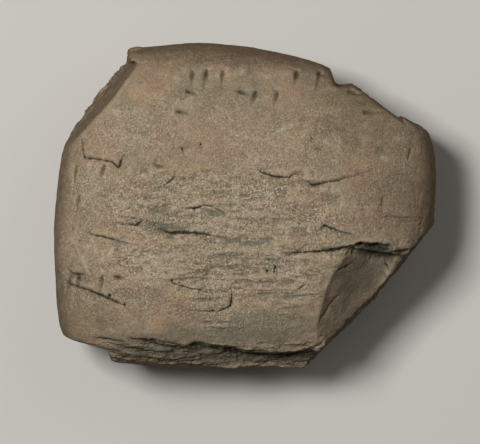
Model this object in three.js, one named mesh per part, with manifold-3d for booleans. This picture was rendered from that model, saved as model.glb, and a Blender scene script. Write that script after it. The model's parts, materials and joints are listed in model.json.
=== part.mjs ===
// A worn clay cuneiform tablet: one hand-formed pillow of clay with broken corners, lying on its back.
// Millimetres. +X runs along the lines of writing, +Y towards the head of the text, and +Z out of the
// written face. The origin is under the middle of the tablet, on the flat spot that it rests on.

import * as THREE from "three";
import { ConvexGeometry } from "three/addons/geometries/ConvexGeometry.js";
import { mergeVertices } from "three/addons/utils/BufferGeometryUtils.js";
import Module from "manifold-3d";

// Body. Heights are counted from the widest line of the sides until the mesh is placed.
const WIDTH = 54.4;
const LENGTH = 46.2;
const FACE_RISE = 11.2;
const BACK_DROP = 11.9;
const REST_CUT = 0.8; // how much of the back's crown is worn flat
const CORNER_POWER = 11; // 2 would be an ellipse in plan, more squares the corners up
const ROLL_POWER = 2.5; // 2 would be an ellipse in section, more flattens the faces
const GRID = [32, 28, 15]; // facets along X, Y and Z

// How each side leaves the straight: where it is fullest, and the mm of draw-in for each square mm
// from there, before and after that place along X or Y. The head edge droops towards the right.
const LEFT_SIDE = { fullest: -4, before: 0.0024, after: 0.0075 };
const RIGHT_SIDE = { fullest: 4, before: 0.006, after: 0.002 };
const HEAD_SIDE = { fullest: -6, before: 0.005, after: 0.0105 };
const FOOT_SIDE = { fullest: -1, before: 0.003, after: 0.003 };

// Broad wear on the written face: middle, reach along X and Y, and depth, where a swelling is negative.
const WEAR = [
  { x: -13, y: -1.5, reachX: 6, reachY: 2.6, depth: 0.55 },
  { x: -7.5, y: -6, reachX: 4.5, reachY: 2.2, depth: -0.35 },
  { x: -4, y: -13, reachX: 5.5, reachY: 2.4, depth: 0.5 },
  { x: -13, y: -9, reachX: 4, reachY: 2.5, depth: -0.3 },
  { x: 20.5, y: 4, reachX: 3, reachY: 4, depth: 0.3 },
  { x: 1, y: 16.8, reachX: 12, reachY: 1.6, depth: 0.35 },
];

// Lines of writing that can still be felt: where along X an upright or a lying stroke survives.
const STROKE_LENGTH = 2.6;
const STROKE_WIDTH = 1.1;
const HEEL = 0.2; // where along a stroke it is deepest
const FACE_LINES = [
  { y: 19.2, depth: 0.6, upright: [-7.4, -5.4, -3.1, 7.5, 10.7], lying: [] },
  { y: 16.2, depth: 0.5, upright: [1.6, 4.6], lying: [-8.2, -0.9, 14.8] },
  { y: 13.3, depth: 0.4, upright: [], lying: [-9.6, 16.8] },
  { y: 8, depth: 0.34, upright: [23.6], lying: [-9.2, 9.9] },
  { y: 5.6, depth: 0.4, upright: [-24.1, -20], lying: [-12.6] },
  { y: 1.4, depth: 0.4, upright: [-23.6, 19.6], lying: [-20.4] },
  { y: -2.2, depth: 0.34, upright: [], lying: [7.6, 22.2] },
  { y: -10, depth: 0.5, upright: [-24.8, -23.6, -20.2], lying: [-18.4] },
];
const BACK_LINES = [
  { y: 12, depth: 0.5, upright: [-14, -11.8, -2, 0.2, 8], lying: [-8.6, 3.4] },
  { y: 6.6, depth: 0.4, upright: [-12.6, 5.6], lying: [-16, -4.4, 8.6] },
  { y: 1.2, depth: 0.4, upright: [-9, -6.9, 2], lying: [10.4] },
  { y: -11.6, depth: 0.5, upright: [-11.6, -2.4, -0.2], lying: [-8, 4.4] },
];

// Along the foot edge the upper layer has broken off in a jagged line, and a lower one sticks out,
// which falls away from the face to the edge.
const LAYER_EDGE = [
  [-22.4, -18.5],
  [-15.6, -18.7],
  [-13.2, -19.5],
  [-8.2, -19.9],
  [-7.2, -19.2],
  [-5.9, -19.3],
  [-5.4, -20.1],
  [-4.6, -19.7],
  [-1.4, -19.9],
  [-0.6, -20.6],
  [6.8, -20.8],
  [9.4, -20.1],
  [11.2, -21.4],
];
const LEDGE_AT = [-4, -19.8, 5.4];
const LEDGE_OUTWARD = [-84.5, 46]; // compass and rise of the way that the lower layer faces

// Right of the foot edge the break is one long trough: its radius, and how steep it is at its upper rim.
const TROUGH_RADIUS = 15.5;
const TROUGH_SLOPE = 54;
const TROUGH_RIM = [14.2, -6.4, 10.3];
const TROUGH_COMPASS = -108; // the way that the rim runs from there, in degrees from +X
const TROUGH_FALL = 12; // how much the trough dips that way, in degrees

const CLAY = { color: 0x8f7d67, roughness: 0.93, metalness: 0 };

const wasm = await Module();
wasm.setup();

function solidOf(geometry) {
  const bare = geometry.clone();
  for (const extra of ["normal", "uv"]) {
    bare.deleteAttribute(extra);
  }
  const merged = mergeVertices(bare, 1e-4);
  return new wasm.Manifold(
    new wasm.Mesh({
      numProp: 3,
      vertProperties: merged.attributes.position.array,
      triVerts: new Uint32Array(merged.index.array),
    }),
  );
}

function geometryOf(solid) {
  const mesh = solid.getMesh();
  const geometry = new THREE.BufferGeometry();
  geometry.setAttribute("position", new THREE.BufferAttribute(mesh.vertProperties, 3));
  geometry.setIndex(new THREE.BufferAttribute(mesh.triVerts, 1));
  geometry.computeVertexNormals();
  return geometry;
}

// A direction by its compass angle from +X towards +Y and its rise above the horizontal, in degrees.
function heading(compass, rise) {
  const turn = THREE.MathUtils.degToRad(compass);
  const lift = THREE.MathUtils.degToRad(rise);
  return new THREE.Vector3(
    Math.cos(turn) * Math.cos(lift),
    Math.sin(turn) * Math.cos(lift),
    Math.sin(lift),
  );
}

// Everything on the outer side of a plane, as far as the tablet reaches.
function beyond(point, outward) {
  const size = 3 * WIDTH;
  const block = new THREE.BoxGeometry(size, size, size);
  block.translate(0, 0, size / 2);
  block.applyQuaternion(new THREE.Quaternion().setFromUnitVectors(new THREE.Vector3(0, 0, 1), outward));
  block.translate(...point);
  return solidOf(block);
}

function wearAt(x, y) {
  return WEAR.reduce((sum, { x: cx, y: cy, reachX, reachY, depth }) => {
    const away = ((x - cx) / reachX) ** 2 + ((y - cy) / reachY) ** 2;
    return sum + depth * Math.exp(-away);
  }, 0);
}

function drawIn(side, along) {
  return (along < side.fullest ? side.before : side.after) * (along - side.fullest) ** 2;
}

// Carries a point of the cube from -1 to 1 onto the rolled, bowed pillow.
function pillowPoint(u, v, w) {
  const plan = (Math.abs(u) ** CORNER_POWER + Math.abs(v) ** CORNER_POWER) ** (1 / CORNER_POWER);
  const shrink = (plan ** ROLL_POWER + Math.abs(w) ** ROLL_POWER) ** (-1 / ROLL_POWER);
  const squareX = (u * shrink * WIDTH) / 2;
  const squareY = (v * shrink * LENGTH) / 2;
  const x = squareX * (1 - drawIn(u < 0 ? LEFT_SIDE : RIGHT_SIDE, squareY) / (WIDTH / 2));
  const y = squareY * (1 - drawIn(v < 0 ? FOOT_SIDE : HEAD_SIDE, x) / (LENGTH / 2));
  const height = w * shrink;
  const z = height > 0 ? height * (FACE_RISE - wearAt(x, y)) : height * BACK_DROP;
  return new THREE.Vector3(x, y, z);
}

function pillow() {
  const cube = new THREE.BoxGeometry(2, 2, 2, ...GRID);
  const at = cube.attributes.position;
  for (let i = 0; i < at.count; i++) {
    const moved = pillowPoint(at.getX(i), at.getY(i), at.getZ(i));
    at.setXYZ(i, moved.x, moved.y, moved.z);
  }
  return solidOf(cube);
}

// A long cylinder that lies in the break right of the foot edge and leaves its trough.
function trough() {
  const along = heading(TROUGH_COMPASS, -TROUGH_FALL);
  const down = new THREE.Vector3(0, 0, -1).projectOnPlane(along).normalize();
  const uphill = new THREE.Vector3().crossVectors(down, along);
  const steep = THREE.MathUtils.degToRad(TROUGH_SLOPE);
  const middle = new THREE.Vector3(...TROUGH_RIM)
    .addScaledVector(uphill, -TROUGH_RADIUS * Math.sin(steep))
    .addScaledVector(down, -TROUGH_RADIUS * Math.cos(steep));
  const roller = new THREE.CylinderGeometry(TROUGH_RADIUS, TROUGH_RADIUS, 2 * WIDTH, 72);
  roller.applyQuaternion(new THREE.Quaternion().setFromUnitVectors(new THREE.Vector3(0, 1, 0), along));
  roller.translate(...middle);
  return solidOf(roller);
}

// The part of the upper layer that is lost along the foot edge.
function brokenLayer() {
  const [first] = LAYER_EDGE;
  const last = LAYER_EDGE.at(-1);
  const outline = new THREE.Shape(LAYER_EDGE.map(([x, y]) => new THREE.Vector2(x, y)));
  outline.lineTo(last[0], -LENGTH);
  outline.lineTo(first[0], -LENGTH);
  const plate = new THREE.ExtrudeGeometry(outline, { depth: LENGTH, bevelEnabled: false });
  return solidOf(plate).intersect(beyond(LEDGE_AT, heading(...LEDGE_OUTWARD)));
}

// The clay that has broken away, corner by corner.
function breaks() {
  const rest = beyond([0, 0, REST_CUT - BACK_DROP], new THREE.Vector3(0, 0, -1));

  // Left of the head edge, a steep facet, which stops short of the end of the head edge.
  const headLeft = beyond([-21.7, 15.2, -6], heading(141.5, 9)).intersect(
    beyond([-18, 20.2, 4], heading(-84, 0)),
  );
  const headEnd = beyond([-16.9, 20, -6], heading(177, 2)).intersect(
    beyond([-18, 20, 4], heading(96, 0)),
  );

  // A nick in the drooping part of the head edge, a worn slope to the right of it, and the right corner.
  const headNick = beyond([12.5, 19, -6], heading(20, 2))
    .intersect(beyond([15, 17.6, -6], heading(95, 3)))
    .subtract(beyond([16.4, 17.6, 4], heading(0, 0)));
  const rightOf = (x) => beyond([x, 12.4, 0], heading(20, 0));
  const headSlope = beyond([19.1, 14.9, -6], heading(53, 2)).subtract(rightOf(22.4));
  const headCorner = beyond([24.4, 11.9, -6], heading(61, 2)).intersect(rightOf(22.2));

  // Right of the foot edge, the trough under a sharp lip, a flake beside it and a steep break below it.
  const lip = beyond([17, -5.9, 4], heading(-99, -4));
  const flake = beyond([20, -7, 4.4], heading(-15, -35)).subtract(
    beyond([21.4, -7.4, 6.4], heading(-52, 58)),
  );
  const footTrough = trough().intersect(lip).subtract(flake);
  const footBreak = beyond([16.6, -14.9, -6], heading(-44.6, 2));
  const footCorner = beyond([24.4, -5.9, -6], heading(-40, 2));

  // Along the left of the foot edge, the lower layer is gone.
  const footLeft = beyond([-22.7, -19.5, 4], heading(-103, -3)).intersect(
    beyond([-19.2, -21, 4], heading(176, -4)),
  );
  return [
    rest,
    headLeft,
    headEnd,
    headNick,
    headSlope,
    headCorner,
    footTrough,
    footBreak,
    footCorner,
    footLeft,
    brokenLayer(),
  ];
}

// Finds the clay from above, or from below for the back: the point and its outward normal.
function surfaceAt(mesh, x, y, side) {
  const probe = new THREE.Raycaster(
    new THREE.Vector3(x, y, side * WIDTH),
    new THREE.Vector3(0, 0, -side),
  );
  const [hit] = probe.intersectObject(mesh);
  return { point: hit.point, outward: hit.face.normal };
}

// What one press of a reed takes out: broad and deep at the head, running out to nothing at the tail.
function reedPress(mesh, { x, y, compass, length, width, depth, side }) {
  const { point, outward } = surfaceAt(mesh, x, y, side);
  const along = heading(compass, 0).projectOnPlane(outward).normalize();
  const across = new THREE.Vector3().crossVectors(outward, along);
  const place = (forward, sideways, height) =>
    point
      .clone()
      .addScaledVector(along, forward * length)
      .addScaledVector(across, sideways * width)
      .addScaledVector(outward, height * depth);
  return solidOf(
    new ConvexGeometry([
      place(0, 1, 1),
      place(0, -1, 1),
      place(2, 0, 1),
      place(HEEL, 0, -1),
    ]),
  );
}

// The strokes of some lines. Each leans and stretches by a fixed scatter from -1 to 1.
function strokesOf(lines, side) {
  const stroke = (x, { y, depth }, compass, stretch) => {
    const scatter = Math.sin(12.9 * x + 4.1 * y);
    return {
      x,
      y,
      compass: compass + 8 * scatter,
      length: STROKE_LENGTH * stretch * (1 + 0.2 * scatter),
      width: STROKE_WIDTH,
      depth,
      side,
    };
  };
  return lines.flatMap((line) => [
    ...line.upright.map((x) => stroke(x, line, -102, 1)),
    ...line.lying.map((x) => stroke(x, line, -6, 0.8)),
  ]);
}

function tablet() {
  const whole = pillow().subtract(wasm.Manifold.union(breaks()));
  const probe = new THREE.Mesh(geometryOf(whole));
  const cuts = [
    ...strokesOf(FACE_LINES, 1).map((stroke) => reedPress(probe, stroke)),
    ...strokesOf(BACK_LINES, -1).map((stroke) => reedPress(probe, stroke)),
  ];
  const geometry = geometryOf(whole.subtract(wasm.Manifold.union(cuts)));
  geometry.computeBoundingBox();
  const { min, max } = geometry.boundingBox;
  const mesh = new THREE.Mesh(geometry, new THREE.MeshStandardMaterial(CLAY));
  mesh.name = "tablet";
  mesh.position.set(-(min.x + max.x) / 2, -(min.y + max.y) / 2, -min.z);
  return mesh;
}

const part = new THREE.Group();
part.add(tablet());

export default part;
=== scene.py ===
# A worn clay cuneiform tablet, lying on its back on a plain stage. Everything is in metres, in the frame
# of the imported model: +X along the lines of writing, +Y towards the head of the text, +Z out of the face.
import json
import math
from functools import partial

import bpy
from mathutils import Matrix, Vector

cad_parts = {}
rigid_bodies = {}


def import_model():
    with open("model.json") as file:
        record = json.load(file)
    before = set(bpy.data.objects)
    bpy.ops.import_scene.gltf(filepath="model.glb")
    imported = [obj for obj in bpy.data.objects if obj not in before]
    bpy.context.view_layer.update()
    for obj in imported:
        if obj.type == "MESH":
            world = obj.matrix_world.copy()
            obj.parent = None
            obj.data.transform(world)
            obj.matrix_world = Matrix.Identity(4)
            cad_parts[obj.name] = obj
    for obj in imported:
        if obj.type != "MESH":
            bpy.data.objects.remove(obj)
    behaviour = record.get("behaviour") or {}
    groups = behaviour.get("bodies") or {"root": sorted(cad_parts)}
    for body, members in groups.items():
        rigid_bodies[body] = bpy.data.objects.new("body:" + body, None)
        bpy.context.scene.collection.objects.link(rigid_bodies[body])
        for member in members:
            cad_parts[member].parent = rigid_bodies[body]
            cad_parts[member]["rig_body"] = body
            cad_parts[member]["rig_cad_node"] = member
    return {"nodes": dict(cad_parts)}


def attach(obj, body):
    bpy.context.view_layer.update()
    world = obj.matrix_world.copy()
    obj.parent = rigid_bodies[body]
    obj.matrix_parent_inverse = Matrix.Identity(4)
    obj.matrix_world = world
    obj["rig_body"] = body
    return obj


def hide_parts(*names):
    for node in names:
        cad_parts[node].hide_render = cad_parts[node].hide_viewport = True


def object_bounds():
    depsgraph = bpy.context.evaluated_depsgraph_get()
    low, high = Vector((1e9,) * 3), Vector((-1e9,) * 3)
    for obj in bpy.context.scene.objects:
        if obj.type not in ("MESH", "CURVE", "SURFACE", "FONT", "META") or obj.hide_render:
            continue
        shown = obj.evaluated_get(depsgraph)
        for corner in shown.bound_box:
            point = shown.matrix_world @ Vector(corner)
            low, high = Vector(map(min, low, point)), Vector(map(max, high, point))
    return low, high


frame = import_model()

bl_info = {
    "name": "Clay tablet",
    "version": (1, 0, 0),
    "blender": (4, 5, 0),
    "location": "View3D > Sidebar > Tablet",
    "description": "Builds the visible surface of a worn clay tablet and its stage",
    "category": "Object",
}

MM = 0.001
CAD_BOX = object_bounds()
BODY = "root"
NODE = "tablet"

# Cracks in the face: width where widest, where that is from 0 at the start to 1 at the end, and the
# points that the crack runs through, all in millimetres.
CRACKS = {
    "lip": (0.75, 0.8, [(5.4, -6.7), (9.9, -6.5), (14.5, -5.9), (16.3, -5.5), (18.8, -5.6), (20.7, -5.6)]),
    "under lip": (0.6, 0.5, [(16.6, -5.9), (18.6, -6.0), (20.6, -6.2)]),
    "lip end": (0.6, 0.5, [(20.6, -6.6), (22.0, -6.5), (23.3, -6.2)]),
    "flake root": (0.34, 0.7, [(19.9, -7.6), (20.0, -8.4), (20.5, -9.6)]),
    "flake fibre": (0.42, 0.3, [(20.2, -7.5), (22.5, -8.4)]),
    "flake fibre low": (0.36, 0.3, [(20.4, -8.5), (21.8, -9.1)]),
    "flake fibre top": (0.36, 0.3, [(21.2, -7.0), (23.2, -7.7)]),
    "above lip": (0.34, 0.0, [(11.2, -2.8), (13.1, -3.5), (17.3, -4.8)]),
    "right": (0.36, 0.1, [(8.6, 3.5), (9.7, 2.9), (13.5, 3.6), (18.0, 5.0)]),
    "arc": (0.38, 0.6, [(1.6, 5.7), (2.2, 4.7), (3.9, 4.1), (6.3, 4.0), (8.0, 5.0)]),
    "middle": (0.5, 0.4, [(-12.3, -3.2), (-10.9, -3.8), (-8.2, -3.6), (-5.6, -4.0), (-2.4, -4.5)]),
    "middle left": (0.36, 0.7, [(-19.2, -2.6), (-15.3, -2.6), (-13.8, -1.8)]),
    "low left": (0.32, 0.4, [(-23.0, -3.7), (-20.1, -4.3), (-18.6, -4.7), (-14.0, -6.0)]),
    "upper middle": (0.36, 0.3, [(-8.9, -0.3), (-7.1, -0.4), (-6.0, 0.0), (-4.3, -0.2), (-0.7, -2.7)]),
    "head left": (0.4, 0.75, [(-23.1, 9.4), (-22.8, 6.8), (-18.9, 6.2), (-17.9, 5.5), (-16.8, 7.8)]),
    "foot left": (
        0.42,
        0.75,
        [(-25.8, -10.1), (-24.9, -11.1), (-21.7, -12.1), (-20.0, -12.8), (-16.7, -14.4)],
    ),
    "foot left top": (0.4, 0.6, [(-25.3, -9.0), (-24.6, -9.5), (-23.7, -9.8), (-22.7, -9.6)]),
    "foot left tail": (0.22, 0.3, [(-24.8, -11.5), (-25.1, -14.6)]),
    "foot left next tail": (0.2, 0.3, [(-23.7, -11.8), (-23.8, -14.4)]),
    "foot middle": (0.34, 0.7, [(-8.2, -14.9), (-3.6, -14.9), (-2.0, -14.2), (-1.9, -12.0)]),
    "foot spur": (0.22, 0.2, [(-2.1, -14.4), (-0.5, -16.5)]),
    "flake edge": (0.34, 0.2, [(-10.7, -10.7), (-8.7, -11.4), (-5.0, -12.2)]),
    "below flake": (0.24, 0.5, [(-11.0, -13.3), (-8.3, -13.5)]),
    "ridge": (0.18, 0.5, [(10.6, -16.7), (12.3, -14.1), (13.6, -12.4)]),
    "ridge top": (0.3, 0.7, [(13.0, -9.5), (14.4, -8.5), (15.3, -8.0)]),
    "short slant": (0.2, 0.5, [(7.0, -12.0), (7.9, -11.7), (9.2, -10.4)]),
    "long slant": (0.3, 0.6, [(-9.5, 4.8), (-10.4, 3.5), (-12.8, 2.2)]),
    "dash left": (0.36, 0.3, [(-12.9, 5.8), (-10.9, 5.5)]),
    "dash middle": (0.32, 0.3, [(-7.5, 5.1), (-3.6, 4.8)]),
    "dash far left": (0.3, 0.5, [(-20.8, 0.7), (-18.6, 0.5)]),
    "dash centre": (0.3, 0.5, [(-4.9, 1.9), (-2.0, 1.7)]),
    "dash next": (0.32, 0.5, [(-1.2, -4.6), (0.5, -4.5)]),
    "dash low": (0.34, 0.5, [(-1.5, -7.0), (0.0, -6.8)]),
    "right box": (0.2, 0.2, [(19.2, -1.8), (20.3, -1.4), (21.9, -1.7), (25.4, -1.7), (24.7, -3.6)]),
    "foot slot left": (0.75, 0.4, [(-16.2, -18.7), (-13.4, -19.1), (-11.0, -19.7), (-7.4, -20.3)]),
    "foot hole": (0.95, 0.5, [(-7.4, -19.6), (-5.6, -19.9)]),
    "foot slot right": (0.95, 0.3, [(-5.0, -20.2), (-1.0, -20.6), (3.0, -21.0), (7.6, -20.9)]),
    "foot far left": (0.3, 0.5, [(-21.8, -18.6), (-19.6, -18.8), (-16.6, -19.4)]),
    "foot fan": (0.3, 0.5, [(-20.1, -19.3), (-16.0, -20.2), (-11.0, -21.0)]),
    "foot fan low": (0.24, 0.5, [(-17.0, -21.1), (-13.0, -21.7), (-8.0, -21.9)]),
    "foot right": (0.4, 0.6, [(2.4, -21.8), (6.0, -21.4), (9.3, -20.4)]),
}

# Edges worn round and notches in them, in the same form. The wear reaches this many widths to each side,
# and it flattens out over its core, in millimetres.
WEAR_REACH = 3.2
WEAR_CORE = 0.7
WORN_EDGES = {
    "corner ridge": (
        0.95,
        0.5,
        [(14.6, -6.2), (13.2, -8.3), (11.7, -11.8), (10.8, -14.6), (10.2, -17.8), (9.9, -20.6)],
    ),
    "head left ridge": (0.5, 0.5, [(-15.8, 20.0), (-19.5, 15.6), (-23.4, 10.8)]),
    "notch upper": (0.6, 1.0, [(22.2, -7.3), (23.4, -8.3)]),
    "notch lower": (0.6, 1.0, [(20.0, -9.4), (21.2, -10.6)]),
    "notch low": (0.5, 1.0, [(16.4, -13.9), (17.4, -14.9)]),
}

# Within about this many millimetres of a crack the clay changes from the foot's side to the head's.
SIDE_BLEND = 0.15

# The step in millimetres by which a line is cut up so that it can wander, and the share of its width that
# it loses towards its ends.
LINE_STEP = 0.1
LINE_TAPER = 0.8

# Pits where grit has fallen out: place and width in millimetres.
PITS = (
    (-21.0, -12.2, 0.4),
    (-19.2, -12.7, 0.6),
    (-18.2, -13.5, 0.7),
    (-17.0, -14.1, 0.6),
    (-10.3, -10.6, 0.55),
    (-9.2, -10.8, 0.4),
    (-8.9, 8.0, 0.45),
    (-6.2, 8.7, 0.4),
    (7.7, -2.6, 0.4),
    (10.2, -2.6, 0.35),
    (3.3, -7.6, 0.5),
    (4.2, -8.7, 0.6),
    (3.2, -9.3, 0.4),
    (-3.6, -6.2, 0.4),
    (-0.4, 1.9, 0.35),
    (9.4, 9.4, 0.45),
    (-2.0, -12.6, 0.55),
)

# Scratches that only show as pale lines, in the same form as the cracks.
SCRATCHES = {
    "fan left": (0.2, 0.5, [(-24.6, -4.2), (-22.0, -9.8)]),
    "fan right": (0.2, 0.5, [(-21.6, -4.6), (-20.0, -9.4)]),
    "fan cross": (0.16, 0.5, [(-18.6, -6.0), (-20.2, -8.2)]),
    "long curve": (0.16, 0.5, [(-1.6, 10.0), (3.0, 9.2), (6.5, 11.6)]),
    "brick left": (0.18, 0.5, [(5.9, -3.0), (5.9, -6.2)]),
    "brick right": (0.18, 0.5, [(9.0, -2.8), (9.0, -5.6)]),
    "brick top": (0.16, 0.5, [(3.0, -2.9), (12.6, -2.7)]),
    "brick foot": (0.16, 0.5, [(2.0, -7.3), (12.4, -7.2)]),
    "brick next": (0.16, 0.5, [(4.3, -3.2), (4.4, -7.0)]),
    "brick far": (0.16, 0.5, [(7.4, -7.4), (7.5, -10.4)]),
    "brick low": (0.16, 0.5, [(1.0, -10.2), (9.4, -10.4)]),
}

# A stroke of the reed, in millimetres: the length of its tail, its width, and the width of its head. For
# each kind, the way that its tail points, in degrees round from +X, and its share of that length.
STROKE_LENGTH = 3.3
STROKE_WIDTH = 0.7
STROKE_HEAD = 1.5
STROKE_KINDS = {"upright": (-102, 1.0), "lying": (-6, 0.8)}

# Strokes that can still be felt: where along X an upright or a lying one survives, and how much of a
# line's strokes is left, from 0 to 1.
FACE_LINES = (
    {"y": 19.2, "left": 1.0, "upright": (-7.4, -5.4, -3.1, 7.5, 10.7), "lying": ()},
    {"y": 16.2, "left": 0.9, "upright": (1.6, 4.6), "lying": (-8.2, -0.9, 14.8)},
    {"y": 13.3, "left": 1.0, "upright": (), "lying": (-9.6, 16.8)},
    {"y": 8.0, "left": 0.5, "upright": (23.6,), "lying": (-9.2, 9.9)},
    {"y": 5.6, "left": 0.8, "upright": (-24.1, -20), "lying": (-12.6,)},
    {"y": 1.4, "left": 0.6, "upright": (-23.6, 19.6), "lying": (-20.4,)},
    {"y": -2.2, "left": 0.5, "upright": (), "lying": (7.6, 22.2)},
    {"y": -10.0, "left": 0.9, "upright": (-24.8, -23.6, -20.2), "lying": (-18.4,)},
)
BACK_LINES = (
    {"y": 12, "left": 0.9, "upright": (-14, -11.8, -2, 0.2, 8), "lying": (-8.6, 3.4)},
    {"y": 6.6, "left": 0.7, "upright": (-12.6, 5.6), "lying": (-16, -4.4, 8.6)},
    {"y": 1.2, "left": 0.7, "upright": (-9, -6.9, 2), "lying": (10.4,)},
    {"y": -11.6, "left": 0.9, "upright": (-11.6, -2.4, -0.2), "lying": (-8, 4.4)},
)

# Where the clay is broken off: the way that a break faces, in degrees round from +X, and how far out that
# way, in millimetres, the broken surface starts and is at its roughest.
BREAKS = ((-45, 18.0, 22.5), (141.5, 24.9, 26.2), (57, 22.3, 23.6))

# Patches of another colour in the clay: colour, middle and reach along X and Y in millimetres, strength.
PATCHES = (
    ("pale", (-11.5, -8.6), (4.6, 2.6), 0.6),
    ("ochre", (-8.6, -12.7), (3.4, 1.0), 0.7),
    ("pale", (-2.0, -1.0), (9.0, 3.6), 0.35),
    ("pale", (19.7, 6.6), (0.9, 0.7), 0.9),
    ("ochre", (18.6, -12.5), (0.7, 0.5), 0.6),
    ("damp", (-3.0, 15.6), (9.0, 3.0), 0.3),
    ("damp", (2.0, -16.8), (12.0, 2.6), 0.6),
    ("damp", (-11.6, -2.4), (4.8, 1.6), 0.9),
    ("damp", (-6.2, -1.6), (2.6, 0.7), 0.6),
    ("damp", (3.6, -8.2), (1.4, 1.2), 0.6),
    ("damp", (-15.5, -12.6), (4.6, 1.6), 0.5),
    # Painted shade, with browner dirt: darker brown at top right, on the right side, head edge and lower
    # left.
    ("side", (16.0, 13.0), (10.0, 6.5), 0.5),
    ("side", (23.0, 0.0), (8.0, 10.0), 0.45),
    ("side", (0.0, 22.4), (20.0, 3.2), 0.8),
    ("side", (-22.0, -14.0), (6.0, 6.0), 0.45),
    ("warm", (-4.0, 9.5), (12.0, 5.0), 0.5),
    ("warm", (-20.0, 9.0), (4.0, 4.0), 0.5),
)

# Stains that lie over the grain, in the same form. Some of them are painted shade and shadow, as marked.
STAINS = (
    ("soil", (-11.2, -2.9), (3.2, 0.6), 0.45),
    # Painted shadow and shade along the foot ledge, under its overhanging edge.
    ("damp", (-5.0, -18.6), (15.0, 1.4), 0.5),
    ("damp", (-14.0, -20.2), (7.0, 1.4), 0.7),
    ("soil", (-3.0, -21.4), (17.0, 1.8), 0.6),
    # Painted shade in the trough of the corner break, and a painted shadow in the pocket under its lip.
    ("damp", (16.6, -9.6), (4.2, 3.8), 0.7),
    ("damp", (13.8, -15.4), (3.4, 5.0), 0.6),
    ("soil", (16.4, -11.6), (4.6, 5.6), 0.3),
    ("soil", (18.4, -6.3), (3.4, 1.1), 0.95),
    ("side", (22.2, -8.0), (2.4, 2.2), 0.65),
)

# Real sizes of the patterns, in millimetres across one patch, lump, layer, cell or grain.
ACROSS = {
    "wander": 1.25,
    "lost skin": 6.2,
    "swells": 12.5,
    "lumps": 2.4,
    "layers": 1.8,
    "grit": 1.2,
    "coarse grain": 0.53,
    "crack width": 0.6,
    "warm patches": 9.0,
    "ochre patches": 2.8,
    "olive patches": 4.5,
    "pale patches": 2.0,
    "side patches": 2.4,
    "patch edge": 1.7,
    "quiet patches": 7.0,
    "damp grains": 1.5,
    "pale grains": 1.4,
    "warm grains": 0.6,
    "olive grains": 0.77,
    "side grains": 0.29,
    "salt grains": 0.26,
    "crackle bend": 0.9,
    "crackle": 1.25,
    "crackle gaps": 2.0,
    "scratch gaps": 0.8,
    "crumbs": 0.7,
    "fine grain": 0.38,
    "dull patches": 1.1,
}

# The stage, in metres: the side of the floor, and each light's place and size.
FLOOR_SIDE = 4
LIGHTS = {"key": ((-0.27, 0.15, 0.64), 0.2), "fill": ((0.4, 0.3, 0.5), 0.5)}

# The place that the camera stands over, along X and Y in millimetres.
CAMERA_OVER = (-0.7, -2.3)

# Short names for the nodes that are used most: their kind and their usual settings.
SHORT_NAMES = {
    "plus": ("ShaderNodeMath", {"operation": "ADD"}),
    "times": ("ShaderNodeMath", {"operation": "MULTIPLY"}),
    "over": ("ShaderNodeMath", {"operation": "DIVIDE"}),
    "larger": ("ShaderNodeMath", {"operation": "MAXIMUM"}),
    "ease": ("ShaderNodeMapRange", {"interpolation_type": "SMOOTHSTEP"}),
    "moved": ("ShaderNodeVectorMath", {"operation": "ADD"}),
    "stretched": ("ShaderNodeVectorMath", {"operation": "MULTIPLY"}),
    "scaled": ("ShaderNodeVectorMath", {"operation": "SCALE"}),
    "noise": ("ShaderNodeTexNoise", {}),
    "cells": ("ShaderNodeTexVoronoi", {"Randomness": 1.0}),
    "mixed": ("ShaderNodeMix", {"data_type": "RGBA"}),
}


class TabletShape(bpy.types.PropertyGroup):
    """Sizes of the tablet's visible surface."""

    fineness: bpy.props.FloatProperty(
        name="Fineness",
        description="Spacing of the mesh while it is shaped",
        default=0.14 * MM,
        unit="LENGTH",
    )
    sharp_edge: bpy.props.FloatProperty(
        name="Sharp edge",
        description="Edges that turn more than this stay as broken edges",
        default=math.radians(28),
        subtype="ANGLE",
    )
    rubbing: bpy.props.IntProperty(
        name="Rubbing",
        description="Passes of smoothing that round the broken edges",
        default=80,
    )
    swell: bpy.props.FloatProperty(
        name="Swell",
        description="Height of the broad unevenness of the hand-formed clay",
        default=0.35 * MM,
        unit="LENGTH",
    )
    lumps: bpy.props.FloatProperty(
        name="Lumps",
        description="Height of the lumps left by wear",
        default=0.26 * MM,
        unit="LENGTH",
    )
    layers: bpy.props.FloatProperty(
        name="Layers",
        description="Height of the ragged layers that run along the lines of writing",
        default=0.38 * MM,
        unit="LENGTH",
    )
    pits: bpy.props.FloatProperty(
        name="Pits",
        description="Depth of the pits where grit has fallen out",
        default=0.16 * MM,
        unit="LENGTH",
    )
    crack_depth: bpy.props.FloatProperty(
        name="Crack depth",
        description="Depth of a crack as a multiple of its width",
        default=1.5,
    )
    lift: bpy.props.FloatProperty(
        name="Lift",
        description="How far the clay above a crack stands up, as a multiple of the crack's width",
        default=0.6,
    )
    edge_wear: bpy.props.FloatProperty(
        name="Edge wear",
        description="How far a worn edge is rounded down, as a share of the wear's reach",
        default=0.24,
    )
    stroke_depth: bpy.props.FloatProperty(
        name="Stroke depth",
        description="Depth of a reed stroke as a multiple of its width",
        default=0.5,
    )
    grain: bpy.props.FloatProperty(
        name="Grain",
        description="Height of the grain of the clay",
        default=0.11 * MM,
        unit="LENGTH",
    )
    triangles: bpy.props.IntProperty(
        name="Triangles",
        description="Triangles left in the finished surface",
        default=190000,
    )


def hex_colour(name, description, value):
    return bpy.props.StringProperty(name=name, description=description, default=value)


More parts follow.
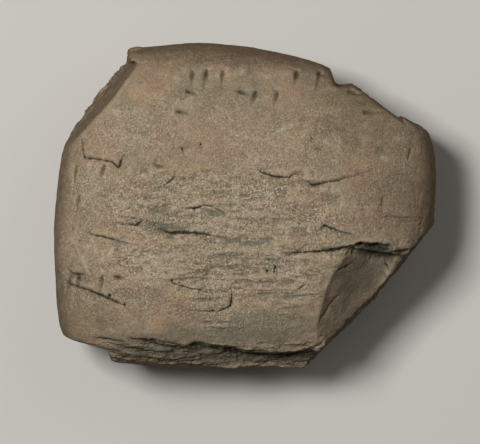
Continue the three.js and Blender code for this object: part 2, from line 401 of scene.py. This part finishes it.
class TabletFinish(bpy.types.PropertyGroup):
    """Colours of the clay and of what lies on it, as sRGB hex values, its gloss and its finest grain."""

    clay: hex_colour("Clay", "The worn face", "#97866c")
    warm: hex_colour("Warm clay", "Pinkish patches", "#9f826a")
    olive: hex_colour("Olive clay", "Greenish grey patches", "#857a64")
    # Pale clay: rubbed and dusty, and also a painted highlight on the crests.
    pale: hex_colour("Pale clay", "Rubbed crests and dusty patches", "#bba98e")
    ochre: hex_colour("Ochre", "Small patches of fresh clay", "#b59a72")
    # Dark earth: burial dirt, and painted shade in cracks, strokes and deep hollows and under overhangs.
    soil: hex_colour("Soil", "Burial soil in the cracks", "#363830")
    # Grey-green stain, also painted shade in shallow hollows, in the corner break's trough and on the foot
    # ledge.
    damp: hex_colour("Stain", "Grey-green stain round the hollows", "#6c6958")
    salt: hex_colour("Salt", "Whitish lines of salt in the fine crackle", "#c7b9a2")
    # Side: brown dirt, also painted shade on the steep sides, in the breaks and towards the edges.
    side: hex_colour("Side", "Grime on the steep sides and breaks", "#604f3a")
    gloss: bpy.props.FloatProperty(
        name="Gloss",
        description="Strength of the clay's dull reflection",
        default=0.2,
        min=0.0,
        max=1.0,
        subtype="FACTOR",
    )
    bump: bpy.props.FloatProperty(
        name="Bump",
        description="Height of the finest grain",
        default=0.27 * MM,
        unit="LENGTH",
    )


class TabletStage(bpy.types.PropertyGroup):
    """The floor, the lights and the camera."""

    floor: hex_colour("Floor", "The plain pale floor", "#c9c6c0")
    camera_height: bpy.props.FloatProperty(
        name="Camera height",
        description="Height of the camera over the tablet's widest outline",
        default=0.8,
        unit="LENGTH",
    )
    seen_width: bpy.props.FloatProperty(
        name="Seen width",
        description="Width that the camera takes in at that height",
        default=68.5 * MM,
        unit="LENGTH",
    )
    key: bpy.props.FloatProperty(
        name="Key light",
        description="Power of the main light",
        default=4.4,
        unit="POWER",
    )
    fill: bpy.props.FloatProperty(
        name="Fill light",
        description="Power of the fill light",
        default=0.5,
        unit="POWER",
    )
    ambient: bpy.props.FloatProperty(
        name="Ambient",
        description="Strength of the light all round",
        default=0.14,
    )


def linear(code):
    """An sRGB hex colour as linear red, green, blue and alpha."""
    shares = [int(code[i : i + 2], 16) / 255 for i in (1, 3, 5)]
    return [s / 12.92 if s <= 0.04045 else ((s + 0.055) / 1.055) ** 2.4 for s in shares] + [1.0]


def node(tree, kind, *feeds, **settings):
    """Adds a node. Feeds go to its inputs in order, and settings to its properties or inputs by name."""
    kind, usual = SHORT_NAMES.get(kind, (kind, {}))
    made = tree.nodes.new(kind)
    inputs = {}
    for name, value in {**usual, **settings}.items():
        if hasattr(made, name):
            setattr(made, name, value)
        else:
            inputs[name] = value
    in_use = [socket for socket in made.inputs if socket.enabled]
    pairs = list(zip(in_use, feeds)) + [(made.inputs[name], value) for name, value in inputs.items()]
    for socket, value in pairs:
        if isinstance(value, bpy.types.Node):
            value = next(out for out in value.outputs if out.enabled)
        if isinstance(value, bpy.types.NodeSocket):
            tree.links.new(value, socket)
        elif value is not None:
            socket.default_value = value
    return made


def select_only(piece):
    bpy.ops.object.select_all(action="DESELECT")
    piece.select_set(True)
    bpy.context.view_layer.objects.active = piece


def finish_with(piece, kind, **settings):
    """Adds a modifier to the piece and applies it."""
    select_only(piece)
    modifier = piece.modifiers.new(kind.title(), kind)
    for name, value in settings.items():
        setattr(modifier, name, value)
    bpy.ops.object.modifier_apply(modifier=modifier.name)


def bare_lines(name, runs):
    """Draws runs of points on the ground plane, with each point's width in millimetres as its weight."""
    bpy.ops.object.select_all(action="DESELECT")
    bpy.ops.mesh.primitive_circle_add(vertices=3, radius=MM, enter_editmode=True)
    bpy.ops.mesh.delete(type="VERT")
    lines = bpy.context.object
    lines.name = name
    lines.vertex_groups.new(name="width")
    for width, widest, points in runs:
        at = Vector((*points[0], 0)) * MM
        bpy.ops.mesh.primitive_circle_add(vertices=3, radius=MM, location=at)
        bpy.ops.mesh.merge(type="CENTER")
        for i, point in enumerate(points):
            goal = Vector((*point, 0)) * MM
            if i:
                bpy.ops.mesh.extrude_vertices_move(TRANSFORM_OT_translate={"value": goal - at})
            at = goal
            share = i / (len(points) - 1)
            reach = max(widest if share < widest else 1 - widest, 0.01)
            closing = min(abs(share - widest) / reach, 1)
            bpy.context.scene.tool_settings.vertex_group_weight = width * (1 - LINE_TAPER * closing)
            bpy.ops.object.vertex_group_assign()
    bpy.ops.object.mode_set(mode="OBJECT")
    return lines


def reed_strokes(lines):
    """The reed's strokes as runs: a short bar for the head and a tail that thins out.

    Each stroke leans and stretches by a fixed scatter.
    """
    runs = []
    for line in lines:
        for kind, (way, share) in STROKE_KINDS.items():
            for x in line[kind]:
                scatter = math.sin(12.9 * x + 4.1 * line["y"])
                lean = math.radians(way + 8 * scatter)
                tail = Vector((math.cos(lean), math.sin(lean))) * share * (1 + 0.35 * scatter)
                head = Vector((x, line["y"]))
                half_bar = tail.orthogonal().normalized() * STROKE_HEAD * (0.5 - 0.15 * scatter)
                width = STROKE_WIDTH * line["left"] * (1 - 0.2 * scatter)
                runs.append((0.8 * width, 0.7, [head - half_bar, head, head + half_bar]))
                runs.append((width, 0.0, [head, head + tail * STROKE_LENGTH]))
    return runs


def pit_runs():
    """The pits as cracks no longer than they are wide."""
    return [(width, 0.5, [(x + width * i / 4, y) for i in (-1, 0, 1)]) for x, y, width in PITS]


def grooves(tree, position, lines, raggedness):
    """Reads how each point lies to the nearest of some lines, seen from above.

    Gives the distance in millimetres, the line's width there in millimetres, and the side, which goes
    over the line from -1 on the foot's side to 1 on the head's. The lines wander by up to the raggedness,
    in millimetres, each way.
    """
    add = partial(node, tree)
    source = add("GeometryNodeObjectInfo", lines)
    curve = add("GeometryNodeMeshToCurve", source.outputs["Geometry"])
    fine = add("GeometryNodeResampleCurve", curve, mode="LENGTH", Length=LINE_STEP * MM)
    in_mm = add("scaled", position, Scale=1 / MM)
    wander = add("noise", in_mm, Scale=1 / ACROSS["wander"], Detail=2.5, Roughness=0.5)
    centred = add("moved", wander.outputs["Color"], (-0.5, -0.5, -0.5))
    shift = add("stretched", centred, (2 * raggedness * MM, 2 * raggedness * MM, 0))
    ragged = add("GeometryNodeSetPosition", fine, Offset=shift)
    edges = add("GeometryNodeCurveToMesh", ragged)
    on_plan = add("stretched", position, (1, 1, 0)).outputs[0]
    near = add("GeometryNodeProximity", edges, target_element="EDGES")
    tree.links.new(on_plan, near.inputs["Sample Position"])
    nearest = add("GeometryNodeSampleNearest", edges)
    tree.links.new(on_plan, nearest.inputs["Sample Position"])
    weight = add("GeometryNodeInputNamedAttribute", "width", data_type="FLOAT")
    width = add("GeometryNodeSampleIndex", edges, weight, nearest, data_type="FLOAT")
    away = add("times", near.outputs["Distance"], 1 / MM)
    off = add("ShaderNodeVectorMath", on_plan, near.outputs["Position"], operation="SUBTRACT")
    headward = add("times", add("ShaderNodeSeparateXYZ", off).outputs["Y"], 1 / MM)
    side = add("over", headward, add("plus", away, SIDE_BLEND))
    return away, width, side


def relief_tree(shape, cracks, worn_edges, face_strokes, back_strokes, scratches):
    """Wear, layers, pits and cracks as one node group that moves the surface along its normal.

    It stores four readings for the finish: how far a point lies in a hollow or on a crest, how much burial
    dirt and painted shade go in its cracks and strokes, how rough it is, and whether a scratch runs over
    it.
    """
    tree = bpy.data.node_groups.new("worn relief", "GeometryNodeTree")
    tree.interface.new_socket("Geometry", in_out="INPUT", socket_type="NodeSocketGeometry")
    tree.interface.new_socket("Geometry", in_out="OUTPUT", socket_type="NodeSocketGeometry")
    add = partial(node, tree)
    given = add("NodeGroupInput")
    position = add("GeometryNodeInputPosition")
    normal = add("GeometryNodeInputNormal")
    point = add("scaled", position, Scale=1 / MM)
    slope = add("ShaderNodeSeparateXYZ", normal).outputs["Z"]
    place = add("ShaderNodeSeparateXYZ", point)

    # Where the skin is lost: across the middle of the face and below it, along the foot edge, and in
    # the breaks.
    squashed = add("stretched", add("moved", point, (2, 5, 0)), (0.06, 0.1, 0))
    reach = add("ShaderNodeVectorMath", squashed, operation="LENGTH").outputs["Value"]
    patches = add("noise", point, Scale=1 / ACROSS["lost skin"], Detail=3.0, Roughness=0.55)
    patchy = add("plus", reach, add("times", add("plus", patches, -0.5), 2.2))
    middle = add("times", add("ease", patchy, 1.25, 0.7), add("ease", slope, 0.6, 0.8))
    near_foot = add("ease", place.outputs["Y"], -18.8, -20.0)
    skin_lost = add("larger", middle, add("times", near_foot, add("ease", slope, 0.0, 0.3)))
    steep = add("ease", slope, 0.45, 0.15, 0.3, 0.95)
    for facing, start, full in BREAKS:
        way = (math.cos(math.radians(facing)), math.sin(math.radians(facing)), 0)
        outwards = add("ShaderNodeVectorMath", point, way, operation="DOT_PRODUCT")
        broken = add("ease", outwards.outputs["Value"], start, full)
        skin_lost = add("larger", skin_lost, add("times", broken, steep))

    # Broad swells and lumps, centred on zero.
    swells = add("noise", point, Scale=1 / ACROSS["swells"], Detail=1.0, Roughness=0.55)
    swell = add("times", add("plus", swells, -0.5), 2 * shape.swell)
    shifted = add("moved", point, (7, 3, 1))
    lumpy = add("noise", shifted, Scale=1 / ACROSS["lumps"], Detail=4.0, Roughness=0.6)
    lump_size = add("times", add("plus", add("times", skin_lost, 0.7), 0.45), 2 * shape.lumps)
    lumps = add("times", add("plus", lumpy, -0.5), lump_size)

    # Ragged layers: noise drawn out along the lines of writing, cut into steps.
    drawn_out = add("moved", add("stretched", point, (0.34, 1.3, 2.2)), (3, 11, 5))
    layered = add("noise", drawn_out, Scale=1 / ACROSS["layers"], Detail=5.0, Roughness=0.62)
    steps = add("plus", add("ease", layered, 0.45, 0.5), add("ease", layered, 0.56, 0.62))
    layer_size = add("times", add("plus", add("times", skin_lost, 0.95), 0.05), 0.5 * shape.layers)
    layers = add("times", add("plus", steps, -1.0), layer_size)

    # Pits where grit has fallen out, in a share of the cells.
    cells = add("cells", point, Scale=1 / ACROSS["grit"])
    bowl = add("ease", cells.outputs["Distance"], 0.0, 0.3, 1.0, 0.0)
    chosen = add("ShaderNodeMath", cells.outputs["Color"], 0.74, operation="GREATER_THAN")
    pits = add("times", add("times", bowl, chosen), -shape.pits)

    # Grain, strongest where the skin is lost.
    shifted = add("moved", point, (2, 2, 8))
    grainy = add("noise", shifted, Scale=1 / ACROSS["coarse grain"], Detail=4.0, Roughness=0.7)
    grain_size = add("times", add("plus", add("times", skin_lost, 0.65), 0.35), 2 * shape.grain)
    grain = add("times", add("plus", grainy, -0.5), grain_size)

    # Cracks: a cleft, a soft sag of the clay along it, and the head's side standing a little higher.
    on_face = add("ease", slope, 0.3, 0.52)
    away, width, side = grooves(tree, position, cracks, 0.3)
    shifting = add("noise", point, Scale=1 / ACROSS["crack width"], Detail=2.0, Roughness=0.55)
    uneven = add("times", width, add("ease", shifting, 0.3, 0.7, 0.6, 1.2))
    across = add("over", away, add("times", uneven, 0.5))
    cleft = add("ease", across, 0.35, 1.2, 1.0, 0.0)
    sag = add("ease", across, 0.0, 6.0, 1.0, 0.0)
    lift = add("times", add("times", add("ease", away, 0.0, 2.6, 1.0, 0.0), side), -shape.lift)
    dip = add("plus", add("times", cleft, shape.crack_depth), add("times", sag, 0.4))
    split = add("times", add("plus", dip, lift), uneven)

    # Edges worn round: the surface falls off towards the edge on both sides, ever more steeply.
    edge_away, edge_width, _ = grooves(tree, position, worn_edges, 0.5)
    edge_reach = add("times", edge_width, WEAR_REACH)
    softened = add("ShaderNodeMath", edge_away, WEAR_CORE, WEAR_CORE, operation="SMOOTH_MAX")
    inside = add("larger", add("plus", add("times", add("over", softened, edge_reach), -1.0), 1.0), 0.0)
    fall = add("times", add("times", inside, inside), add("times", edge_reach, shape.edge_wear))
    rounding = add("times", fall, add("ease", slope, -0.25, 0.0))

    # The reed's strokes, deepest at the head and shallower along the tail.
    presses = []
    for lines in (face_strokes, back_strokes):
        stroke_away, stroke_width, _ = grooves(tree, position, lines, 0.12)
        part = add("over", stroke_away, add("times", stroke_width, 0.5))
        presses.append(add("times", add("ease", part, 0.0, 1.6, 1.0, 0.0), stroke_width))
    face_press = add("times", presses[0], on_face)
    back_press = add("times", presses[1], add("ease", slope, -0.3, -0.6))
    press = add("plus", face_press, back_press)

    opened = add("plus", add("times", split, on_face), rounding)
    carved = add("times", add("plus", opened, add("times", press, shape.stroke_depth)), -MM)
    worn = add("plus", add("plus", swell, lumps), add("plus", add("plus", layers, pits), grain))
    off_floor = add("ease", place.outputs["Z"], 0.0, 2.0)
    height = add("plus", add("times", worn, off_floor), carved)
    offset = add("scaled", normal, Scale=height)
    moved = add("GeometryNodeSetPosition", given, Offset=offset)

    # How far the surface lies below its own average over about a millimetre, in millimetres.
    average = add("GeometryNodeBlurAttribute", position, data_type="FLOAT_VECTOR", Iterations=60)
    below = add("ShaderNodeVectorMath", average, position, operation="SUBTRACT")
    depth = add("ShaderNodeVectorMath", below, normal, operation="DOT_PRODUCT").outputs["Value"]
    in_crack = add("times", add("times", cleft, add("ease", width, 0.0, 0.25)), on_face)
    scratch_away, _, _ = grooves(tree, position, scratches, 0.2)
    scratch = add("ease", scratch_away, 0.05, 0.22, 1.0, 0.0)
    surface = moved
    for name, reading in (
        ("hollow", add("times", depth, 1 / MM)),
        # Burial dirt and painted shade in the cracks and strokes.
        ("soil", add("larger", in_crack, press)),
        ("rough", skin_lost),
        ("scratch", add("times", scratch, on_face)),
    ):
        surface = add("GeometryNodeStoreNamedAttribute", surface, None, name, reading, data_type="FLOAT")
    add("NodeGroupOutput", surface)
    return tree


def clay_material(finish):
    """Sun-dried clay, hand-formed and long buried.

    That makes it dull and mottled tan, with dirt and painted shade in its cracks and hollows and on its
    steep sides, and pale crests, rubbed and with a painted highlight.
    """
    clay = bpy.data.materials.new("sun-dried clay")
    clay.use_nodes = True
    tree = clay.node_tree
    tree.nodes.clear()
    add = partial(node, tree)
    where = add("ShaderNodeTexCoord").outputs["Object"]
    point = add("scaled", where, Scale=1 / MM)
    hollow, soil, rough, scratch = (
        add("ShaderNodeAttribute", attribute_name=name).outputs["Fac"]
        for name in ("hollow", "soil", "rough", "scratch")
    )

    # Broad and middling patches of tan, pinkish, ochre, olive, pale and dull clay.
    colour = linear(finish.clay)
    for name, seat, detail, roughness, low, high, strength in (
        ("warm", (0, 0, 0), 4, 0.6, 0.44, 0.6, 1.0),
        ("ochre", (6, 6, 1), 4, 0.6, 0.5, 0.64, 0.45),
        ("olive", (9, 4, 2), 6, 0.65, 0.47, 0.62, 0.6),
        ("pale", (1, 8, 6), 8, 0.7, 0.5, 0.66, 0.65),
        ("side", (7, 1, 2), 7, 0.7, 0.52, 0.66, 0.4),
    ):
        blots = add(
            "noise",
            add("moved", point, seat),
            Scale=1 / ACROSS[name + " patches"],
            Detail=detail,
            Roughness=roughness,
        )
        share = add("times", add("ease", blots, low, high), strength)
        colour = add("mixed", share, colour, linear(getattr(finish, name)))

    # Patches at their places, with ragged edges. Some of them are painted shade.
    shifted = add("moved", point, (5, 1, 3))
    ragged = add("noise", shifted, Scale=1 / ACROSS["patch edge"], Detail=5.0, Roughness=0.65)
    edge = add("times", add("plus", ragged, -0.5), 1.6)

    def patched(colour, patches):
        for name, middle, reach, strength in patches:
            off = add("moved", point, (-middle[0], -middle[1], 0))
            scaled = add("stretched", off, (1 / reach[0], 1 / reach[1], 0))
            away = add("ShaderNodeVectorMath", scaled, operation="LENGTH").outputs["Value"]
            share = add("times", add("ease", add("plus", away, edge), 1.15, 0.35), strength)
            colour = add("mixed", share, colour, linear(getattr(finish, name)))
        return colour

    colour = patched(colour, PATCHES)

    # Grains, light and dark, olive and pink, drawn coarser than the real silt so that they show. They
    # stand out more where the skin is lost, and less further out from a place left of the middle.
    shifted = add("moved", point, (4, 9, 4))
    quiet = add("noise", shifted, Scale=1 / ACROSS["quiet patches"], Detail=3.0, Roughness=0.55)
    centred = add("stretched", add("moved", point, (8, 0, 0)), (1 / 17, 1 / 12, 0))
    outwards = add("ShaderNodeVectorMath", centred, operation="LENGTH").outputs["Value"]
    calm = add("times", add("ease", quiet, 0.4, 0.6, 0.8, 1.2), add("ease", outwards, 0.8, 1.8, 1.2, 0.6))
    contrast = add("times", add("ease", rough, 0.0, 0.8, 0.6, 1.0), calm)
    for name, seat, low, high, strength in (
        ("damp", (1, 3, 9), 0.53, 0.66, 0.5),
        ("pale", (3, 5, 2), 0.53, 0.66, 0.5),
        ("warm", (2, 7, 5), 0.52, 0.66, 0.6),
        ("olive", (8, 8, 1), 0.54, 0.68, 0.5),
        ("side", (6, 2, 7), 0.5, 0.64, 0.85),
        ("salt", (4, 4, 4), 0.5, 0.62, 0.9),
    ):
        shifted = add("moved", point, seat)
        specks = add("noise", shifted, Scale=1 / ACROSS[name + " grains"], Detail=3.0, Roughness=0.75)
        share = add("times", add("times", add("ease", specks, low, high), contrast), strength)
        colour = add("mixed", share, colour, linear(getattr(finish, name)))

    # Salt in a fine crackle and in the scratches.
    warp = add("noise", point, Scale=1 / ACROSS["crackle bend"], Detail=3.0, Roughness=0.55)
    bent = add("moved", point, add("times", warp, 1.2))
    cell = add("cells", bent, feature="DISTANCE_TO_EDGE", Scale=1 / ACROSS["crackle"])
    shifted = add("moved", point, (3, 6, 9))
    gaps = add("noise", shifted, Scale=1 / ACROSS["crackle gaps"], Detail=5.0, Roughness=0.65)
    crackle = add("times", add("ease", cell, 0.02, 0.08, 1.0, 0.0), add("ease", gaps, 0.46, 0.58))
    share = add("times", add("times", crackle, contrast), 0.45)
    colour = add("mixed", share, colour, linear(finish.salt))
    worn_off = add("noise", point, Scale=1 / ACROSS["scratch gaps"], Detail=3.0, Roughness=0.55)
    share = add("times", add("times", scratch, add("ease", worn_off, 0.35, 0.6)), 0.75)
    colour = add("mixed", share, colour, linear(finish.salt))

    # Pale crests, rubbed and with a painted highlight; stains, some of them painted shade; and burial dirt
    # and stain with painted shade in the hollows, cracks and strokes.
    # Painted highlight, with rubbing: the higher a crest stands over the surface round it, the paler.
    colour = add("mixed", add("ease", hollow, -0.02, -0.16, 0.0, 0.35), colour, linear(finish.pale))
    colour = patched(colour, STAINS)
    # The deeper the hollow, the darker: stain, then dark earth, as painted shade along with the dirt there.
    crumbs = add("noise", point, Scale=1 / ACROSS["crumbs"], Detail=4.0, Roughness=0.65)
    hollow_dirt_and_shade = add("plus", hollow, add("times", add("plus", crumbs, -0.5), 0.16))
    colour = add("mixed", add("ease", hollow_dirt_and_shade, 0.03, 0.14, 0.0, 0.7), colour, linear(finish.damp))
    colour = add("mixed", add("ease", hollow_dirt_and_shade, 0.14, 0.32, 0.0, 0.8), colour, linear(finish.soil))
    # Burial dirt and painted shade in the cracks and strokes.
    shifted = add("moved", point, (5, 5, 5))
    lodged = add("noise", shifted, Scale=1 / ACROSS["crumbs"], Detail=4.0, Roughness=0.65)
    settled_dirt_and_shade = add("plus", soil, add("times", add("plus", lodged, -0.5), 0.7))
    colour = add("mixed", add("ease", settled_dirt_and_shade, 0.25, 0.8, 0.0, 0.85), colour, linear(finish.soil))

    # Painted shade, with some dirt: the steeper the surface, on the sides and in the breaks, the darker
    # brown.
    tilt = add("ShaderNodeSeparateXYZ", add("ShaderNodeNewGeometry").outputs["Normal"])
    dullness = add("noise", point, Scale=1 / ACROSS["dull patches"], Detail=4.0, Roughness=0.55)
    uneven = add("ease", dullness, 0.35, 0.65, 0.84, 1.05)
    flatness = add("ShaderNodeMath", tilt.outputs["Z"], operation="ABSOLUTE")
    grime_and_shade = add("times", add("ease", flatness, 0.92, 0.3, 0.0, 0.88), uneven)
    colour = add("mixed", grime_and_shade, colour, linear(finish.side))

    fine = add("noise", point, Scale=1 / ACROSS["fine grain"], Detail=6.0, Roughness=0.75)
    bumps = add("plus", fine, add("times", crackle, -0.2))
    shader = add(
        "ShaderNodeBsdfPrincipled",
        colour,
        Roughness=add("ease", dullness, 0.3, 0.7, 0.84, 0.98),
        Normal=add("ShaderNodeBump", Height=bumps, Distance=finish.bump, Strength=1.0),
    )
    shader.inputs["Specular IOR Level"].default_value = finish.gloss
    add("ShaderNodeOutputMaterial", shader)
    return clay


class TABLET_OT_form(bpy.types.Operator):
    """Forms the visible tablet from a merged copy of its plain solid, and gives it its clay."""

    bl_idname = "tablet.form"
    bl_label = "Form the tablet"

    def execute(self, context):
        shape = context.scene.tablet_shape
        solid = frame["nodes"][NODE]
        select_only(solid)
        bpy.ops.object.duplicate()
        piece = context.object
        piece.name = "clay_tablet"
        piece.parent = None
        bpy.ops.object.mode_set(mode="EDIT")
        bpy.ops.mesh.select_all(action="SELECT")
        bpy.ops.mesh.remove_doubles(threshold=0.001 * MM)
        bpy.ops.mesh.select_all(action="DESELECT")
        bpy.ops.mesh.edges_select_sharp(sharpness=shape.sharp_edge)
        bpy.ops.transform.edge_crease(value=1)
        bpy.ops.mesh.select_all(action="SELECT")
        bpy.ops.mesh.tris_convert_to_quads(face_threshold=math.radians(20))
        bpy.ops.object.mode_set(mode="OBJECT")
        finish_with(piece, "SUBSURF", levels=2, render_levels=2)
        finish_with(piece, "REMESH", mode="VOXEL", voxel_size=shape.fineness)
        finish_with(piece, "SMOOTH", factor=0.5, iterations=shape.rubbing)
        tools = [
            bare_lines("crack_lines", [*CRACKS.values(), *pit_runs()]),
            bare_lines("worn_edges", WORN_EDGES.values()),
            bare_lines("face_strokes", reed_strokes(FACE_LINES)),
            bare_lines("back_strokes", reed_strokes(BACK_LINES)),
            bare_lines("scratch_lines", SCRATCHES.values()),
        ]
        finish_with(piece, "NODES", node_group=relief_tree(shape, *tools))
        for tool in tools:
            bpy.data.objects.remove(tool)
        # The remesh leaves squares, and each counts as two triangles.
        finish_with(piece, "DECIMATE", ratio=shape.triangles / (2 * len(piece.data.polygons)))
        bpy.ops.object.shade_smooth()
        piece.data.materials.clear()
        piece.data.materials.append(clay_material(context.scene.tablet_finish))
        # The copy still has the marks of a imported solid, and a visible piece has its own.
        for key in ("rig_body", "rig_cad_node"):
            if key in piece:
                del piece[key]
        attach(piece, BODY)
        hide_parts(NODE)
        return {"FINISHED"}


class TABLET_OT_stage(bpy.types.Operator):
    """Lays the floor, hangs the lights and sets the camera straight over the face."""

    bl_idname = "tablet.stage"
    bl_label = "Set the stage"

    def execute(self, context):
        stage = context.scene.tablet_stage
        bpy.ops.object.select_all(action="DESELECT")
        bpy.ops.mesh.primitive_plane_add(size=FLOOR_SIDE)
        floor = context.object
        floor.name = "floor"
        # Matt paper: it takes soft shadows and shows no gloss.
        paper = bpy.data.materials.new("matt paper")
        paper.use_nodes = True
        shader = paper.node_tree.nodes["Principled BSDF"]
        shader.inputs["Base Color"].default_value = linear(stage.floor)
        shader.inputs["Roughness"].default_value = 0.9
        floor.data.materials.append(paper)

        for name, (at, size) in LIGHTS.items():
            bpy.ops.object.light_add(type="AREA", location=at)
            lamp = context.object
            lamp.name = name + " light"
            lamp.data.size = size
            lamp.data.energy = getattr(stage, name)
            lamp.rotation_euler = (-Vector(at)).to_track_quat("-Z", "Y").to_euler()

        world = bpy.data.worlds.new("even light")
        world.use_nodes = True
        sky = world.node_tree.nodes["Background"]
        sky.inputs["Color"].default_value = linear(stage.floor)
        sky.inputs["Strength"].default_value = stage.ambient
        context.scene.world = world

        low, high = CAD_BOX
        aim = Vector((CAMERA_OVER[0] * MM, CAMERA_OVER[1] * MM, (low.z + high.z) / 2))
        bpy.ops.object.camera_add(location=aim + Vector((0, 0, stage.camera_height)), rotation=(0, 0, 0))
        camera = context.object
        camera.name = "camera"
        camera.data.lens = camera.data.sensor_width * stage.camera_height / stage.seen_width
        context.scene.camera = camera
        context.scene.view_settings.view_transform = "Standard"
        return {"FINISHED"}


class TABLET_PT_panel(bpy.types.Panel):
    """Lists the steps that build the tablet and its stage."""

    bl_idname = "TABLET_PT_panel"
    bl_label = "Clay tablet"
    bl_space_type = "VIEW_3D"
    bl_region_type = "UI"
    bl_category = "Tablet"

    def draw(self, context):
        for group in (context.scene.tablet_shape, context.scene.tablet_finish, context.scene.tablet_stage):
            box = self.layout.box()
            for name in group.bl_rna.properties.keys():
                if name not in ("rna_type", "name"):
                    box.prop(group, name)
        for step in STEPS:
            self.layout.operator(step.bl_idname)


STEPS = (TABLET_OT_stage, TABLET_OT_form)
GROUPS = {"tablet_shape": TabletShape, "tablet_finish": TabletFinish, "tablet_stage": TabletStage}


def register():
    for name, group in GROUPS.items():
        bpy.utils.register_class(group)
        setattr(bpy.types.Scene, name, bpy.props.PointerProperty(type=group))
    for kind in (*STEPS, TABLET_PT_panel):
        bpy.utils.register_class(kind)


def unregister():
    for kind in (TABLET_PT_panel, *reversed(STEPS)):
        bpy.utils.unregister_class(kind)
    for name, group in reversed(GROUPS.items()):
        delattr(bpy.types.Scene, name)
        bpy.utils.unregister_class(group)


def main():
    register()
    bpy.ops.tablet.stage()
    bpy.ops.tablet.form()


if __name__ == "__main__":
    main()
